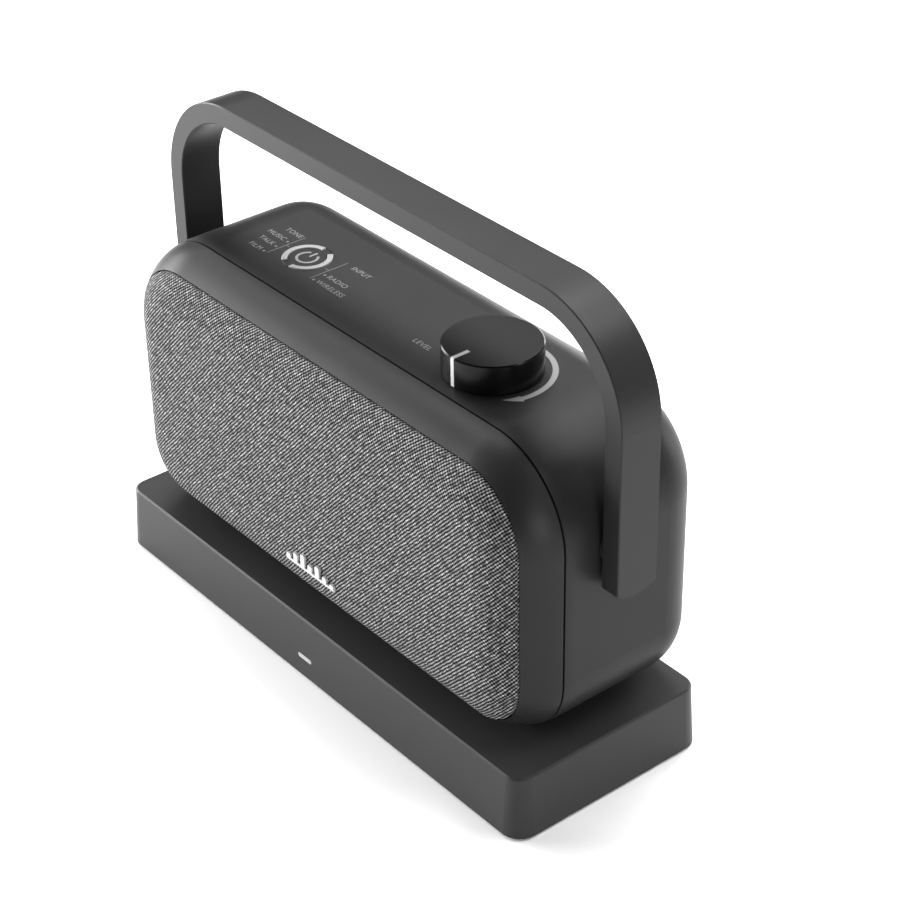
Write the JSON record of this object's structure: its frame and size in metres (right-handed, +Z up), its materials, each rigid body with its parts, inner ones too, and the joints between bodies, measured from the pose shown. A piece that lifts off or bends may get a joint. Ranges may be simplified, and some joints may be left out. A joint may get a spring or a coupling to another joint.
{
  "type": "portable radio speaker",
  "caption": "Portable wireless radio speaker with cloth grille, volume knob, press keys and swinging carry handle, standing on a slim charging and transmitter base.",
  "frame": {"origin": "on the table, under the middle of the whole object's box", "axes": "+Z up, -Y towards the listener (grille), +X to the listener's right along the long side"},
  "size_m": [0.2338, 0.0816, 0.1753],
  "materials": {
    "housing_plastic": "fine matt moulding texture",
    "base_plastic": "fine matt moulding texture",
    "plate_plastic": "matt",
    "black_plastic": "matt",
    "handle_aluminium": "dark grey satin anodised",
    "grille_fabric": "heathered grey twill",
    "badge_white": "satin white",
    "screw_steel": "zinc plated",
    "cell_sleeve": "shrink sleeve",
    "circuit_board": "solder mask",
    "socket_plastic": "matt",
    "socket_steel": "tin plated",
    "clear_lens": "frosted clear",
    "button_black": "satin",
    "button_grey": "satin light grey",
    "knob_plastic": "spun satin top, dark satin side",
    "shaft_steel": "turned",
    "foot_rubber": "matt",
    "gold_contact": "gilt",
    "basket_steel": "black coat",
    "magnet_ferrite": "sintered grey",
    "cone_paper": "black pulp",
    "bush_plastic": "natural black acetal"
  },
  "bodies": {
    "base": {"base_shell": "base_plastic", "base_plate": "plate_plastic", "base_feet": "foot_rubber", "base_screws": "screw_steel", "base_board": "circuit_board", "base_board_screws": "screw_steel", "status_lens": "clear_lens", "pin_block": "socket_plastic", "aux_jack": "socket_plastic", "optical_socket": "socket_plastic", "power_socket": "socket_steel", "left_pin_spring": "shaft_steel", "right_pin_spring": "shaft_steel"},
    "speaker": {"main_housing": "housing_plastic", "front_bezel": "housing_plastic", "grille_cloth": "grille_fabric", "grille_panel": "black_plastic", "badge": "badge_white", "baffle": "black_plastic", "baffle_screws": "screw_steel", "battery_cells": "cell_sleeve", "battery_bracket": "black_plastic", "battery_screws": "screw_steel", "main_board": "circuit_board", "main_board_screws": "screw_steel", "headphone_jack": "socket_plastic", "charge_socket": "socket_steel", "control_board": "circuit_board", "control_board_screws": "screw_steel", "control_switches": "socket_plastic", "indicator_lenses": "clear_lens", "volume_control": "socket_steel", "speaker_feet": "foot_rubber", "contact_pads": "gold_contact", "left_driver_basket": "basket_steel", "left_driver_magnet": "magnet_ferrite", "left_driver_surround": "foot_rubber", "left_driver_screws": "screw_steel", "left_handle_bush": "bush_plastic", "right_driver_basket": "basket_steel", "right_driver_magnet": "magnet_ferrite", "right_driver_surround": "foot_rubber", "right_driver_screws": "screw_steel", "right_handle_bush": "bush_plastic"},
    "handle": {"handle": "handle_aluminium", "left_handle_stud": "shaft_steel", "left_handle_spacer": "bush_plastic", "right_handle_stud": "shaft_steel", "right_handle_spacer": "bush_plastic"},
    "knob": {"volume_knob": "knob_plastic", "knob_pointer": "badge_white", "volume_shaft": "shaft_steel"},
    "power_key": {"power_button": "button_black"},
    "tone_key": {"tone_button": "button_grey"},
    "input_key": {"input_button": "button_grey"},
    "left_cone": {"left_driver_cone": "cone_paper"},
    "right_cone": {"right_driver_cone": "cone_paper"},
    "left_pin": {"left_charging_pin": "gold_contact"},
    "right_pin": {"right_charging_pin": "gold_contact"}
  },
  "joints": [
    {"name": "speaker_lift", "type": "slide", "parent": "base", "child": "speaker", "axis": [0, 0, 1], "range_m": [0, 0.12]},
    {"name": "handle_turn", "type": "hinge", "parent": "speaker", "child": "handle", "pos_m": [0, 0.00205, 0.0957], "axis": [1, 0, 0], "range_deg": [-90, 90]},
    {"name": "volume_turn", "type": "hinge", "parent": "speaker", "child": "knob", "pos_m": [0.04975, 0.00205, 0.13], "axis": [0, 0, -1], "range_deg": [0, 300]},
    {"name": "power_press", "type": "slide", "parent": "speaker", "child": "power_key", "axis": [0, 0, -1], "range_m": [0, 0.0005], "stiffness_N_per_m": 400, "springref_m": -0.0008},
    {"name": "tone_press", "type": "slide", "parent": "speaker", "child": "tone_key", "axis": [0, 0, -1], "range_m": [0, 0.0005], "stiffness_N_per_m": 400, "springref_m": -0.0008},
    {"name": "input_press", "type": "slide", "parent": "speaker", "child": "input_key", "axis": [0, 0, -1], "range_m": [0, 0.0005], "stiffness_N_per_m": 400, "springref_m": -0.0008},
    {"name": "left_cone_stroke", "type": "slide", "parent": "speaker", "child": "left_cone", "axis": [0, -1, 0], "range_m": [-0.0015, 0.0015], "stiffness_N_per_m": 300},
    {"name": "right_cone_stroke", "type": "slide", "parent": "speaker", "child": "right_cone", "axis": [0, -1, 0], "range_m": [-0.0015, 0.0015], "stiffness_N_per_m": 300},
    {"name": "left_pin_travel", "type": "slide", "parent": "base", "child": "left_pin", "axis": [0, 0, 1], "range_m": [-0.0008, 0], "stiffness_N_per_m": 150, "springref_m": 0.002, "deforming": ["left_pin_spring"]},
    {"name": "right_pin_travel", "type": "slide", "parent": "base", "child": "right_pin", "axis": [0, 0, 1], "range_m": [-0.0008, 0], "stiffness_N_per_m": 150, "springref_m": 0.002, "deforming": ["right_pin_spring"]}
  ]
}
